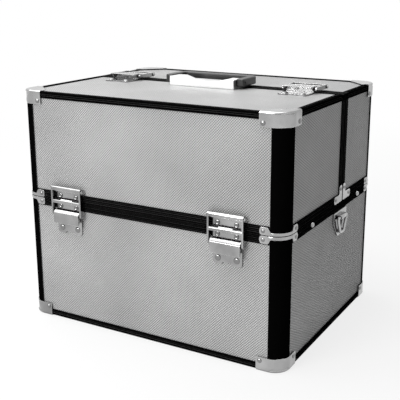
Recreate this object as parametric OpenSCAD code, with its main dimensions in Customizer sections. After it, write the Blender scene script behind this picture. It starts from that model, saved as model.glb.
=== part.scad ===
// Makeup train case: a lower box, a front lid and a rear lid that meet at a split across the top,
// draw latches on the front and over the split, a folding handle, hanger rings and rising trays.
// The origin is the centre of the case's footprint on the floor. +X is the right side, -Y the front.

/* [Case] */
// Overall width over the corner caps
case_w = 370; // [320:5:420]
// Overall depth over the corner caps
case_d = 290; // [280:5:340]
// Overall height over the corner caps
case_h = 300; // [290:5:340]
// Height of the seam between the box and the lids
belt_z = 163; // [150:1:168]
// Distance from the front face back to the split between the two lids
split_y = 172; // [165:1:182]
// Radius of the four upright corner posts
corner_r = 19; // [17:0.5:21]
// Gap between facing profiles at the seams
seam = 0.4; // [0.2:0.1:0.6]

/* [Boards and profiles] */
// Thickness of the laminated boards
board_t = 4; // [3:0.5:4.5]
// Thickness of a profile's leg over a board
leg_t = 1; // [0.8:0.1:1.2]
// Depth of a channel profile, from its outer face inwards
channel_d = 8; // [7.5:0.5:9]
// Width of a channel profile along the face
channel_w = 10.3; // [10:0.1:12]
// Solid nose of a channel profile at the seam
nose_t = 3; // [2.5:0.25:4]
// Leg length of the angle profile on the outer edges
angle_w = 8; // [7:0.5:10]
// Depth of the grooves rolled in the profiles' faces
groove_d = 0.4; // [0.2:0.1:0.6]
// Width of those grooves
groove_w = 2; // [1:0.25:2.5]
// Wall of the corner posts
post_t = 6; // [5.5:0.25:7]
// Thickness of the cloth-faced foam lining
lining_t = 1.5; // [1:0.25:2]

/* [Corner caps and brackets] */
// Sheet thickness of the corner caps
cap_t = 1.2; // [1:0.1:1.5]
// Length of a cap's flange beyond the post
cap_flange = 14; // [12:0.5:16]
// Height of a corner cap
cap_h = 17; // [15:0.5:20]
// Width left on a cap's flat plate at the end of its flange
cap_plate = 9; // [7:0.5:12]
// Sheet thickness of the belt and split brackets
bracket_t = 1; // [0.8:0.1:1.2]
// Length of a belt bracket's flange beyond the post
bracket_flange = 12; // [10:0.5:14]
// Height of a belt bracket's flange
bracket_h = 9; // [8:0.25:9.5]
// Height of the strip that joins the two flanges round the post
bracket_strip = 3.5; // [2.5:0.25:5]
// Leg length of the brackets where the split meets the seam
elbow_l = 26; // [22:1:30]
// Radius of a rivet's head
rivet_r = 2.9; // [2:0.1:3]
// Height of a rivet's head
rivet_h = 1.6; // [1:0.1:1.8]

/* [Latches] */
// Distance from a side face in to the middle of a front latch
front_latch_in = 72; // [66:1:90]
// Distance from a side face in to the middle of a top latch
top_latch_in = 55; // [52:1:65]
// Width of a latch over its strap
strap_w = 46; // [44:1:50]
// Thickness of the strap's sheet
strap_t = 1.5; // [1.2:0.1:1.8]
// Distance of the strap's pin from the seam
strap_pin_v = 15.5; // [15:0.5:17]
// Height of the strap's pin over the profile face
strap_pin_w = 4.2; // [4.2:0.1:4.6]
// Reach of the strap's arms on the lever's side of the seam
strap_reach = 18.5; // [17:0.5:20]
// Width of the riveted latch plates
plate_w = 36; // [34:1:39]
// Sheet thickness of the latch plates
plate_t = 1.5; // [1.2:0.1:1.5]
// Distance of the lever's pin from the seam
lever_pin_v = 14.5; // [14:0.5:16]
// Height of the lever's pin over the profile face
lever_pin_w = 5; // [5:0.1:5.4]
// Width of a lever
lever_w = 39; // [36:1:40]
// Length of a lever below its pin
lever_l = 13.5; // [12:0.5:16]
// Length of the latch plate below the seam
tail_l = 42.5; // [40:0.5:46]
// Width of the latch plate's tail
tail_w = 38; // [34:1:40]
// Radius of a strap's pin
strap_pin_r = 1.25; // [1:0.05:1.4]
// Radius of a lever's pin
lever_pin_r = 1; // [0.8:0.05:1.1]

/* [Rear hinges] */
// Distance from a side face in to the middle of a rear hinge
rear_hinge_in = 75; // [65:1:95]
// Width of a rear hinge
hinge_w = 40; // [34:1:50]
// Length of a hinge leaf
hinge_leaf = 26; // [22:1:30]
// Outer radius of a hinge knuckle
knuckle_r = 3; // [2.6:0.1:3.2]
// Radius of a hinge pin
hinge_pin_r = 1.3; // [1:0.05:1.5]
// Height of the hinge pin over the profile face
hinge_pin_w = 3.6; // [3.4:0.1:4]

/* [Handle] */
// Length of the handle's pressed cover
handle_w = 95; // [90:1:110]
// Width of the handle's cover, front to back
handle_d = 24; // [20:1:24]
// Gap between the handle's cover and the profile of the split
handle_gap = 0.5; // [0.5:0.5:3]
// Height of the handle's pins over the profile face
handle_pin_w = 7.5; // [7.2:0.1:8]
// Reach of the folded grip behind its pins
grip_reach = 40; // [36:0.5:41]
// Width of the grip's arms
grip_arm = 10; // [8:0.5:12]
// Thickness of the grip
grip_t = 10; // [8:0.5:10]
// Radius of the handle's pins
handle_pin_r = 1.5; // [1.2:0.1:1.5]

/* [Hanger rings] */
// Distance from the front face back to the hanger rings
ring_y = 168; // [150:1:180]
// Width of a hanger plate
hanger_w = 44; // [38:1:48]
// Radius of the ring's wire
wire_r = 2; // [1.6:0.1:2.2]
// Drop of the ring below its bar
ring_drop = 20; // [18:1:22]

/* [Trays] */
// Distance from the front face back to the front tray arms' pivots
arm_front_y = 77; // [74:1:80]
// Distance from the rear face in to the rear tray arms' pivots
arm_rear_in = 58; // [54:1:75]
// Forward lean of the closed tray arms, in degrees
arm_lean = 48; // [46:0.5:49]
// Distance along the arm from its pivot to the lower tray's pin
arm_low = 40; // [38:0.5:42]
// Distance along the arm from its pivot to the upper tray's pin
arm_high = 79; // [76:0.5:80]
// Thickness of a tray arm
arm_t = 2.5; // [2:0.25:3]
// Half the width of a tray arm
arm_r = 6; // [5:0.25:6]
// Radius of the arm pivots and tray pins
arm_pin_r = 2; // [1.6:0.1:2.4]
// Height of a tray
tray_h = 27; // [22:0.5:27]
// Wall thickness of a tray
tray_wall = 1.8; // [1.4:0.1:2.4]
// Distance from the front face back to the trays' front walls
tray_front = 12; // [11:0.5:14]
// Reach of the lower tray behind its rear pins
tray_low_back = 25.7; // [15:0.1:28]
// Reach of the upper tray behind its rear pins
tray_high_back = 70.7; // [54:0.1:78]
// Columns of compartments in a tray
tray_columns = 4; // [2:1:6]
// Rows of compartments in a tray
tray_rows = 2; // [1:1:3]

/* [Hidden] */
$fn = 48;

// Colours
case_silver = "silver";
profile_black = "#202022";
bright_metal = "gainsboro";
grip_black = "#18181a";
lining_black = "#2a2a2c";
tray_grey = "#3a3a3e";

// Small clearances and the overshoot that keeps cuts clean
running = 0.05;
slack = 0.3;
cut = 1;

// The body is what the profiles enclose; the caps stand proud of it
body_w = case_w - 2 * cap_t;
body_d = case_d - 2 * cap_t;
body_bottom = cap_t;
body_top = case_h - cap_t;
half_w = body_w / 2;
half_d = body_d / 2;
board_out = leg_t;
board_in = leg_t + board_t;
base_top = belt_z - seam / 2;
lid_bottom = belt_z + seam / 2;
split_at = split_y - cap_t;
front_depth = split_at - seam / 2;
rear_depth = body_d - split_at - seam / 2;
split_world = -half_d + split_at;

// Latch and hinge places
front_latch_x = case_w / 2 - front_latch_in;
top_latch_x = case_w / 2 - top_latch_in;
rear_hinge_x = case_w / 2 - rear_hinge_in;

// Heights where the boards enter and leave the profiles
base_board_top = base_top - nose_t;
base_board_low = body_bottom + board_in;
lid_board_low = lid_bottom + nose_t;
lid_board_top = body_top - board_in;
post_inner_r = corner_r - post_t;

// Latch geometry beside the pins
strap_roll_r = 2.4;
strap_web_v = 5;
strap_web_gap = 2.1;
strap_top_near = 2.9;
strap_top_far = 4.1;
strap_low_w = 1.6;
strap_high_w = strap_pin_w + 2.8;
strap_wall_w = strap_pin_w - 1;
ledge_w = 3.4;
lever_roll_r = 2;
lever_web_gap = 1;
lever_near = 2.2;
lever_far = 3.2;
lever_skin = 1;
lever_face_w = lever_pin_w + 3.2;
lever_inner_w = lever_pin_w - 0.8;
lever_ear = 1.5;
lever_ear_l = 4;
pin_head_r = 2;
strap_inside = strap_w / 2 - strap_t;
latch_rivet_v = 6.7;
latch_rivet_x = plate_w / 2 - rivet_r - 3;
latch_rivet_r = rivet_r * 1.1;
latch_rivet_h = rivet_h / 1.6;
tail_rivet_r = rivet_r * 1.35;
tail_rivet_up = 7;
tail_corner = 5;
tail_notch = 3;
tail_rivet_v = -tail_l + tail_rivet_up;

// Tray arm places
arm_gap = 7.5;
arm_x = half_w - channel_d - arm_gap;
arm_pivot_z = base_top - channel_w / 2;
arm_front = -half_d + arm_front_y - cap_t;
arm_rear = half_d - arm_rear_in + cap_t;
screw_r = 4;
screw_h = 1.8;
arm_washer_r = 3.5;
arm_washer_t = 1.2;
tray_side_gap = 3.2;
tray_side_x = arm_x - tray_side_gap;
tray_low_pin = 10;
tray_high_pin = 8;

// Handle places
handle_at = split_world - seam / 2 - channel_w - handle_gap - handle_d / 2;
cover_t = 1.5;
cover_box_w = 13;
cover_box_h = handle_pin_w + 3.5;
cover_ramp = 12;
cover_mid_h = 7.3;
cover_head_r = 1.9;
cover_head_t = 1.2;
grip_inner = handle_w / 2 + slack;
grip_outer = grip_inner + grip_arm;
grip_bar = 11;
grip_bend = 12;

// ---------------------------------------------------------------- placing

// Makes a copy of its children on the left side
module both_sides() {
    children();
    mirror([1, 0, 0]) children();
}

// Makes a copy of its children at the rear
module both_ends() {
    children();
    mirror([0, 1, 0]) children();
}

// Puts a wall drawn along X, inwards along Y, on the front face
module on_front() {
    translate([0, -half_d, 0]) children();
}

// Puts the same wall on the right side, where its X runs to the rear
module on_right() {
    rotate([0, 0, 90]) translate([0, -half_w, 0]) children();
}

// Hardware is drawn flat: X across, Y away from the seam on the catch side, Z out of the face
module latch_on_front(x) {
    translate([x, -half_d, belt_z]) rotate([90, 0, 0]) children();
}

module latch_on_top(x) {
    translate([x, split_world, body_top]) children();
}

module hinge_on_rear(x) {
    translate([x, half_d, belt_z]) rotate([0, 0, 180]) rotate([90, 0, 0]) children();
}

module hanger_on_right() {
    translate([half_w, -half_d + ring_y - cap_t, belt_z]) rotate([90, 0, 90]) children();
}

// ---------------------------------------------------------------- shared shapes

// A box from its two opposite corners
module block(low, high) {
    translate(low) cube(high - low);
}

// A cylinder along X, from x0 to x1, through the point y, z
module rod_x(x0, x1, y, z, r) {
    translate([x0, y, z]) rotate([0, 90, 0]) cylinder(r = r, h = x1 - x0);
}

// A low domed head that stands on the plane z = 0
module dome(r, h) {
    ball_r = (r * r + h * h) / (2 * h);
    intersection() {
        translate([0, 0, h - ball_r]) sphere(ball_r, $fn = 64);
        cylinder(r = r, h = h);
    }
}

// The channel profile's section: X inwards, Y away from the seam
module channel_section() {
    g0 = channel_w * 0.3 - groove_w / 2;
    g1 = channel_w * 0.72 - groove_w / 2;
    polygon([
        [0, 0], [channel_d, 0], [channel_d, channel_w], [board_in, channel_w],
        [board_in, nose_t], [leg_t, nose_t], [leg_t, channel_w], [0, channel_w],
        [0, g1 + groove_w], [groove_d, g1 + groove_w], [groove_d, g1], [0, g1],
        [0, g0 + groove_w], [groove_d, g0 + groove_w], [groove_d, g0], [0, g0]
    ]);
}

// The angle profile's section, with its outer edge at the origin
module angle_section() {
    g = angle_w / 2 - groove_w / 2;
    polygon([
        [0, 0], [g, 0], [g, groove_d], [g + groove_w, groove_d], [g + groove_w, 0],
        [angle_w, 0], [angle_w, leg_t], [board_in, leg_t], [board_in, board_in],
        [leg_t, board_in], [leg_t, angle_w], [0, angle_w],
        [0, g + groove_w], [groove_d, g + groove_w], [groove_d, g], [0, g]
    ]);
}

// Runs a section along X from x0 to x1, its X inwards and its Y upwards from z = 0
module run_x(x0, x1) {
    translate([x0, 0, 0]) rotate([90, 0, 90]) linear_extrude(x1 - x0) children();
}

// An upright prism at a corner, rounded at the outer edge, with the body towards +X and +Y
module corner_block(r, e, h) {
    intersection() {
        translate([r, r, 0]) cylinder(r = r, h = h);
        cube([r, r, h]);
    }
    translate([r, 0, 0]) cube([e - r, e, h]);
    translate([0, r, 0]) cube([e, e - r, h]);
}

// The room inside the boards, set in by `inset` from the body's faces
module inside_room(inset, z0, z1) {
    h = z1 - z0;
    flat_x = half_w - corner_r;
    flat_y = half_d - corner_r;
    room_r = corner_r - post_t - (inset - board_in) - running;
    translate([-flat_x, -half_d + inset, z0]) cube([2 * flat_x, body_d - 2 * inset, h]);
    translate([-half_w + inset, -flat_y, z0]) cube([body_w - 2 * inset, 2 * flat_y, h]);
    for (sx = [-1, 1])
        for (sy = [-1, 1])
            translate([sx * flat_x, sy * flat_y, z0]) cylinder(r = room_r, h = h);
}

// One corner post between two heights, at the front left corner
module post(z0, z1) {
    translate([-half_w + corner_r, -half_d + corner_r, z0]) intersection() {
        difference() {
            cylinder(r = corner_r, h = z1 - z0);
            translate([0, 0, -cut]) cylinder(r = post_inner_r, h = z1 - z0 + 2 * cut);
        }
        translate([-corner_r, -corner_r, 0]) cube([corner_r, corner_r, z1 - z0]);
    }
}

// A pressed cap round the lower front left corner
module cap() {
    e = corner_r + cap_flange;
    translate([-half_w, -half_d, body_bottom]) difference() {
        translate([-cap_t, -cap_t, -cap_t]) corner_block(corner_r + cap_t, e + cap_t, cap_h);
        corner_block(corner_r, e + cut, cap_h + cut);
        translate([0, 0, -cap_t - cut]) linear_extrude(cap_t + 2 * cut)
            polygon([[e + cut, cap_plate], [cap_plate, e + cut], [e + cut, e + cut]]);
    }
}

// The two rivets on a cap's flanges
module cap_rivets() {
    z = cap_h * 0.7;
    along = corner_r + cap_flange - rivet_r - 1.6;
    translate([-half_w + along, -half_d - cap_t, z]) rotate([90, 0, 0]) dome(rivet_r, rivet_h);
    translate([-half_w - cap_t, -half_d + along, z]) rotate([0, -90, 0]) dome(rivet_r, rivet_h);
}

// A strip round the front left post with a flange at each end, above z = 0
module belt_bracket() {
    e = corner_r + bracket_flange;
    translate([-half_w, -half_d, 0]) difference() {
        translate([-bracket_t, -bracket_t, 0])
            corner_block(corner_r + bracket_t, e + bracket_t, bracket_h);
        translate([0, 0, -cut]) corner_block(corner_r, e + cut, bracket_h + 2 * cut);
        translate([-bracket_t - cut, -bracket_t - cut, bracket_strip])
            cube([corner_r + bracket_t + cut, corner_r + bracket_t + cut, bracket_h]);
    }
}

module belt_bracket_rivets() {
    z = bracket_h * 0.5;
    along = corner_r + bracket_flange - rivet_r - 1.6;
    translate([-half_w + along, -half_d - bracket_t, z]) rotate([90, 0, 0])
        dome(rivet_r, rivet_h);
    translate([-half_w - bracket_t, -half_d + along, z]) rotate([0, -90, 0])
        dome(rivet_r, rivet_h);
}

// ---------------------------------------------------------------- box

module base_front_panel() {
    color(case_silver) on_front()
        block([-half_w + corner_r, board_out, base_board_low],
              [half_w - corner_r, board_in, base_board_top]);
}

module base_back_panel() {
    color(case_silver) mirror([0, 1, 0]) on_front()
        block([-half_w + corner_r, board_out, base_board_low],
              [half_w - corner_r, board_in, base_board_top]);
}

module arm_holes() {
    for (y = [arm_front, arm_rear])
        rod_x(half_w - channel_d - cut, half_w + cut, y, arm_pivot_z, arm_pin_r + running);
}

module base_side_panels() {
    color(case_silver) both_sides() difference() {
        on_right()
            block([-half_d + corner_r, board_out, base_board_low],
                  [half_d - corner_r, board_in, base_board_top]);
        arm_holes();
    }
}

module base_floor_panel() {
    color(case_silver) inside_room(board_in, body_bottom + board_out, base_board_low);
}

module base_edging() {
    color(profile_black) translate([0, 0, body_bottom]) {
        both_ends() on_front() run_x(-half_w + corner_r, half_w - corner_r) angle_section();
        both_sides() on_right() run_x(-half_d + corner_r, half_d - corner_r) angle_section();
    }
}

module base_posts() {
    color(profile_black) both_ends() both_sides() post(body_bottom, base_top);
}

module base_rim() {
    color(profile_black) {
        translate([0, 0, base_top]) mirror([0, 0, 1]) both_ends() on_front()
            run_x(-half_w + corner_r, half_w - corner_r) channel_section();
        both_sides() difference() {
            translate([0, 0, base_top]) mirror([0, 0, 1]) on_right()
                run_x(-half_d + corner_r, half_d - corner_r) channel_section();
            arm_holes();
        }
    }
}

module base_caps() {
    color(bright_metal) both_ends() both_sides() cap();
}

module base_brackets() {
    color(bright_metal) translate([0, 0, base_top - slack]) mirror([0, 0, 1])
        both_ends() both_sides() belt_bracket();
}

module base_rivets() {
    color(bright_metal) {
        both_ends() both_sides() cap_rivets();
        translate([0, 0, base_top - slack]) mirror([0, 0, 1])
            both_ends() both_sides() belt_bracket_rivets();
        both_sides() latch_on_front(front_latch_x) lever_plate_rivets();
        both_sides() hinge_on_rear(rear_hinge_x) mirror([0, 1, 0]) leaf_rivets();
        both_sides() hanger_on_right() hanger_rivets();
    }
}

module base_lining() {
    color(lining_black) difference() {
        inside_room(board_in, base_board_low, base_top - channel_w);
        inside_room(board_in + lining_t, base_board_low + lining_t, base_top);
    }
}

// Screws that hold the tray arms: a domed head outside, a shank and a flat washer end inside
module arm_screws() {
    inner = arm_x - slack - arm_washer_t;
    color(bright_metal) both_sides()
        for (y = [arm_front, arm_rear]) {
            translate([half_w, y, arm_pivot_z]) rotate([0, 90, 0]) dome(screw_r, screw_h);
            rod_x(inner, half_w, y, arm_pivot_z, arm_pin_r);
            rod_x(inner, inner + arm_washer_t, y, arm_pivot_z, arm_washer_r);
        }
}

// ---------------------------------------------------------------- lids
// Each lid is drawn as the front one, `depth` long from the front face to the split.

module lid_top_panel(depth) {
    color(case_silver) intersection() {
        inside_room(board_in, lid_board_top, body_top - board_out);
        block([-half_w, -half_d, lid_board_top - cut],
              [half_w, -half_d + depth - nose_t, body_top]);
    }
}

module lid_end_panel() {
    color(case_silver) on_front()
        block([-half_w + corner_r, board_out, lid_board_low],
              [half_w - corner_r, board_in, lid_board_top]);
}

module lid_side_panels(depth) {
    color(case_silver) both_sides() on_right() {
        block([-half_d + corner_r, board_out, lid_board_low],
              [-half_d + depth - channel_w, board_in, lid_board_top]);
        block([-half_d + corner_r, board_out, lid_board_low],
              [-half_d + depth - nose_t, board_in, body_top - channel_d]);
    }
}

module lid_edging(depth) {
    color(profile_black) translate([0, 0, body_top]) mirror([0, 0, 1]) {
        on_front() run_x(-half_w + corner_r, half_w - corner_r) angle_section();
        both_sides() on_right() run_x(-half_d + corner_r, -half_d + depth - channel_w)
            angle_section();
    }
}

module lid_posts() {
    color(profile_black) both_sides() post(lid_bottom, body_top);
}

// Channel runs along the seam, up both sides of the split and across the top
module lid_frame(depth) {
    color(profile_black) {
        translate([0, 0, lid_bottom]) {
            on_front() run_x(-half_w + corner_r, half_w - corner_r) channel_section();
            both_sides() on_right() run_x(-half_d + corner_r, -half_d + depth)
                channel_section();
        }
        both_sides() translate([half_w, -half_d + depth, lid_bottom + channel_w])
            rotate([0, 0, 180])
                linear_extrude(body_top - channel_d - lid_bottom - channel_w)
                    channel_section();
        translate([-half_w, -half_d + depth, body_top]) mirror([0, 0, 1])
            rotate([90, 0, 0]) run_x(0, body_w) channel_section();
    }
}

module lid_caps() {
    color(bright_metal) both_sides() translate([0, 0, case_h]) mirror([0, 0, 1]) cap();
}

// An L-shaped plate on the lower corner at the split, on both sides
module split_elbows(depth) {
    w = channel_w - 2 * slack;
    both_sides() on_right() translate([-half_d + depth - slack, -bracket_t, lid_bottom + slack])
        rotate([90, 0, 0]) mirror([1, 0, 0]) mirror([0, 0, 1]) linear_extrude(bracket_t)
            polygon([[0, 0], [elbow_l, 0], [elbow_l, w], [w, w], [w, elbow_l], [0, elbow_l]]);
}

module lid_brackets(depth) {
    color(bright_metal) {
        translate([0, 0, lid_bottom + slack]) both_sides() belt_bracket();
        split_elbows(depth);
    }
}

module lid_rivets(depth) {
    mid = channel_w / 2;
    end = elbow_l - rivet_r - 1.4;
    translate([0, 0, case_h]) mirror([0, 0, 1]) both_sides() cap_rivets();
    translate([0, 0, lid_bottom + slack]) both_sides() belt_bracket_rivets();
    both_sides() on_right() for (p = [[end, mid], [mid, end]])
        translate([-half_d + depth - slack - p[0], -bracket_t, lid_bottom + slack + p[1]])
            rotate([90, 0, 0]) dome(rivet_r, rivet_h);
}

module lid_lining(depth) {
    low = lid_bottom + channel_w;
    color(lining_black) intersection() {
        difference() {
            inside_room(board_in, low, lid_board_top);
            inside_room(board_in + lining_t, low - cut, lid_board_top - lining_t);
        }
        block([-half_w, -half_d, low - cut], [half_w, -half_d + depth - channel_w, body_top]);
    }
}

module front_lid_rivets() {
    color(bright_metal) {
        lid_rivets(front_depth);
        both_sides() latch_on_front(front_latch_x) catch_plate_rivets();
        both_sides() latch_on_top(top_latch_x) lever_plate_rivets();
    }
}

module rear_lid_rivets() {
    color(bright_metal) {
        mirror([0, 1, 0]) lid_rivets(rear_depth);
        both_sides() latch_on_top(top_latch_x) catch_plate_rivets();
        both_sides() hinge_on_rear(rear_hinge_x) leaf_rivets();
    }
}

// ---------------------------------------------------------------- latches

// The catch plate: riveted over the profile, with a roll for the strap's pin at its far edge
module catch_plate() {
    roll_half = strap_inside - slack;
    web0 = strap_pin_v - strap_web_v;
    web1 = strap_pin_v - strap_web_gap;
    difference() {
        union() {
            block([-plate_w / 2, seam + cut, 0], [plate_w / 2, web0 + cut, plate_t]);
            block([-plate_w / 2, channel_w + seam, -board_out], [plate_w / 2, web1, plate_t]);
            block([-roll_half, web0, 0], [roll_half, web1, strap_pin_w + cut]);
            rod_x(-roll_half, roll_half, strap_pin_v, strap_pin_w, strap_roll_r);
        }
        rod_x(-roll_half - cut, roll_half + cut, strap_pin_v, strap_pin_w,
              strap_pin_r + running / 2);
    }
}

module catch_plate_rivets() {
    for (sx = [-1, 1])
        translate([sx * latch_rivet_x, latch_rivet_v, plate_t])
            dome(latch_rivet_r, latch_rivet_h);
}

// The pin through the roll and both arms of the strap, with a round head at each end
module strap_pin() {
    out = strap_w / 2 + slack;
    rod_x(-out - cut, out + cut, strap_pin_v, strap_pin_w, strap_pin_r);
    for (sx = [-1, 1])
        translate([sx * out, strap_pin_v, strap_pin_w]) rotate([0, sx * 90, 0])
            cylinder(r = pin_head_r, h = cut);
}

// The strap: two side arms, a top wall beyond the pin and a ledge over the seam
module strap() {
    half = strap_w / 2;
    top = strap_pin_v + strap_top_far;
    difference() {
        union() {
            for (sx = [-1, 1])
                translate([sx < 0 ? -half : strap_inside, 0, 0])
                    block([0, -strap_reach, strap_low_w], [strap_t, top, strap_high_w]);
            block([-half, strap_pin_v + strap_top_near, strap_wall_w],
                  [half, top, strap_high_w]);
            block([-half, seam, ledge_w], [half, seam + strap_t, strap_high_w]);
        }
        rod_x(-half - cut, half + cut, strap_pin_v, strap_pin_w, strap_pin_r + running);
    }
}

// The plate's tail below `top`: rounded corners and a small notch at its lower end
module lever_tail(top, t) {
    half = tail_w / 2;
    difference() {
        union() {
            block([-half, -tail_l + tail_corner, 0], [half, top, t]);
            block([-half + tail_corner, -tail_l, 0], [half - tail_corner, top, t]);
            for (sx = [-1, 1])
                translate([sx * (half - tail_corner), -tail_l + tail_corner, 0])
                    cylinder(r = tail_corner, h = t);
        }
        translate([0, -tail_l, -cut]) cylinder(r = tail_notch, h = t + 2 * cut);
    }
}

// The lever's plate: riveted over the profile, with a roll for the lever and a tail on the board
module lever_plate() {
    roll_half = lever_w / 2 - lever_ear - slack;
    step = lever_pin_v + lever_roll_r;
    difference() {
        union() {
            block([-plate_w / 2, -step, 0], [plate_w / 2, -seam - cut, plate_t]);
            block([-plate_w / 2, -step, -board_out], [plate_w / 2, -channel_w - seam, plate_t]);
            translate([0, 0, -board_out]) lever_tail(-step, board_out + plate_t / 2);
            block([-roll_half, -step, 0], [roll_half, -lever_pin_v - lever_web_gap, lever_pin_w]);
            rod_x(-roll_half, roll_half, -lever_pin_v, lever_pin_w, lever_roll_r);
        }
        rod_x(-roll_half - cut, roll_half + cut, -lever_pin_v, lever_pin_w,
              lever_pin_r + running / 2);
    }
}

module lever_plate_rivets() {
    for (sx = [-1, 1]) {
        translate([sx * latch_rivet_x, -latch_rivet_v, plate_t])
            dome(latch_rivet_r, latch_rivet_h);
        translate([sx * latch_rivet_x, tail_rivet_v, plate_t / 2]) dome(tail_rivet_r, rivet_h);
    }
}

module lever_pin() {
    half = lever_w / 2;
    rod_x(-half, half, -lever_pin_v, lever_pin_w, lever_pin_r);
}

// The lever: a bent top over the roll, an ear at each side and a face down to its lip
module lever() {
    half = lever_w / 2;
    top = -lever_pin_v + lever_far;
    bottom = -lever_pin_v - lever_l;
    skin_w = lever_face_w - lever_skin;
    difference() {
        union() {
            block([-half, bottom, skin_w], [half, top, lever_face_w]);
            block([-half, -lever_pin_v + lever_near, lever_inner_w], [half, top, lever_face_w]);
            for (sx = [-1, 1])
                translate([sx < 0 ? -half : half - lever_ear, 0, 0]) {
                    block([0, -lever_pin_v - lever_ear_l, lever_inner_w],
                          [lever_ear, top, lever_face_w]);
                    rod_x(0, lever_ear, -lever_pin_v, lever_pin_w, lever_roll_r);
                }
        }
        rod_x(-half - cut, half + cut, -lever_pin_v, lever_pin_w, lever_pin_r + running);
    }
}

module front_latch_plates() {
    color(bright_metal) both_sides() latch_on_front(front_latch_x) lever_plate();
}

module front_lever_pins() {
    color(bright_metal) both_sides() latch_on_front(front_latch_x) lever_pin();
}

module front_catch_plates() {
    color(bright_metal) both_sides() latch_on_front(front_latch_x) catch_plate();
}

module front_strap_pins() {
    color(bright_metal) both_sides() latch_on_front(front_latch_x) strap_pin();
}

module top_latch_plates() {
    color(bright_metal) both_sides() latch_on_top(top_latch_x) lever_plate();
}

module top_lever_pins() {
    color(bright_metal) both_sides() latch_on_top(top_latch_x) lever_pin();
}

module top_catch_plates() {
    color(bright_metal) both_sides() latch_on_top(top_latch_x) catch_plate();
}

module top_strap_pins() {
    color(bright_metal) both_sides() latch_on_top(top_latch_x) strap_pin();
}

module top_straps() {
    color(bright_metal) both_sides() latch_on_top(top_latch_x) strap();
}

// ---------------------------------------------------------------- rear hinges

// A leaf with `knuckles`, each [start, end] across the hinge, on the +Y side of the pin
module hinge_leaf_part(knuckles) {
    half = hinge_w / 2;
    difference() {
        union() {
            block([-half, knuckle_r + slack, 0], [half, hinge_leaf, plate_t]);
            block([-half, channel_w + seam, -board_out], [half, hinge_leaf, plate_t]);
            for (k = knuckles) {
                rod_x(k[0], k[1], 0, hinge_pin_w, knuckle_r);
                block([k[0], slack, slack], [k[1], knuckle_r + cut, plate_t]);
            }
        }
        rod_x(-half - cut, half + cut, 0, hinge_pin_w, hinge_pin_r + running);
    }
}

module leaf_rivets() {
    for (p = [[-1, 0.45], [1, 0.45], [0, 0.75]])
        translate([p[0] * hinge_w / 3.2, hinge_leaf * p[1], plate_t]) dome(rivet_r, rivet_h);
}

module rear_hinge_lower() {
    side = hinge_w / 2;
    mid = hinge_w / 6;
    color(bright_metal) both_sides() hinge_on_rear(rear_hinge_x) mirror([0, 1, 0])
        hinge_leaf_part([[-side, -mid - slack / 2], [mid + slack / 2, side]]);
}

module rear_hinge_upper() {
    mid = hinge_w / 6;
    color(bright_metal) both_sides() hinge_on_rear(rear_hinge_x)
        hinge_leaf_part([[-mid + slack / 2, mid - slack / 2]]);
}

module rear_hinge_pins() {
    half = hinge_w / 2;
    color(bright_metal) both_sides() hinge_on_rear(rear_hinge_x)
        rod_x(-half, half, 0, hinge_pin_w, hinge_pin_r);
}

// ---------------------------------------------------------------- handle

// The handle's parts are drawn with the pins over the origin, Y to the rear and Z up
module handle_place() {
    translate([0, handle_at, body_top]) children();
}

// The cover's outline across the case: a box at each end and ramps to a lower middle
module cover_outline(inset, low) {
    half = handle_w / 2 - inset;
    box_x = handle_w / 2 - cover_box_w;
    ramp_x = box_x - cover_ramp;
    box_z = cover_box_h - inset;
    mid_z = cover_mid_h - inset;
    polygon([
        [-half, low], [half, low], [half, box_z], [box_x, box_z], [ramp_x, mid_z],
        [-ramp_x, mid_z], [-box_x, box_z], [-half, box_z]
    ]);
}

// Stands an outline up and gives it a depth from front to back, over the pins
module across(d) {
    translate([0, d / 2, 0]) rotate([90, 0, 0]) linear_extrude(d) children();
}

// The pressed cover, open below, with a hole for a pin in each end wall
module handle_plate() {
    half = handle_w / 2;
    color(bright_metal) handle_place() difference() {
        across(handle_d) cover_outline(0, -board_out);
        across(handle_d - 2 * cover_t) cover_outline(cover_t, -board_out - cut);
        both_sides() rod_x(half - cover_box_w, half + cut, 0, handle_pin_w,
                           handle_pin_r + running / 2);
    }
}

// Each pin has its head inside the cover and runs out through an arm of the grip
module handle_pins() {
    wall = handle_w / 2 - cover_t;
    color(bright_metal) handle_place() both_sides() {
        rod_x(wall - cover_head_t, wall, 0, handle_pin_w, cover_head_r);
        rod_x(wall - cover_head_t, grip_outer, 0, handle_pin_w, handle_pin_r);
    }
}

// A U-shaped grip: two arms with squared ends round the pins and a round-cornered bar behind
module handle_grip() {
    low = handle_pin_w - grip_t / 2;
    high = handle_pin_w + grip_t / 2;
    color(grip_black) handle_place() difference() {
        union() {
            both_sides() {
                block([grip_inner, -grip_t / 2, low],
                      [grip_outer, grip_reach - grip_bend, high]);
                intersection() {
                    translate([grip_outer - grip_bend, grip_reach - grip_bend, low])
                        cylinder(r = grip_bend, h = grip_t);
                    block([grip_outer - grip_bend, grip_reach - grip_bend, low],
                          [grip_outer, grip_reach, high]);
                }
            }
            block([-grip_outer + grip_bend, grip_reach - grip_bar, low],
                  [grip_outer - grip_bend, grip_reach, high]);
        }
        both_sides() rod_x(grip_inner - cut, grip_outer + cut, 0, handle_pin_w,
                           handle_pin_r + running);
    }
}

// ---------------------------------------------------------------- hanger rings

hanger_top = -channel_w - seam - 0.6;
hanger_bar_v = hanger_top - 7.5;
hanger_bar_w = wire_r + 1.8;
hanger_roll_r = wire_r + 1;
hanger_roll_half = 9;
ring_half = hanger_roll_half + wire_r + 3.5;
ring_foot = 6;
ring_lean = atan((ring_half - ring_foot) / ring_drop);
wire_flat = 1.6 * wire_r;
hanger_plate_w = 0.9;
hanger_shoulder = 14;
hanger_foot = 32;
hanger_rivet_drop = 27;

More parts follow.
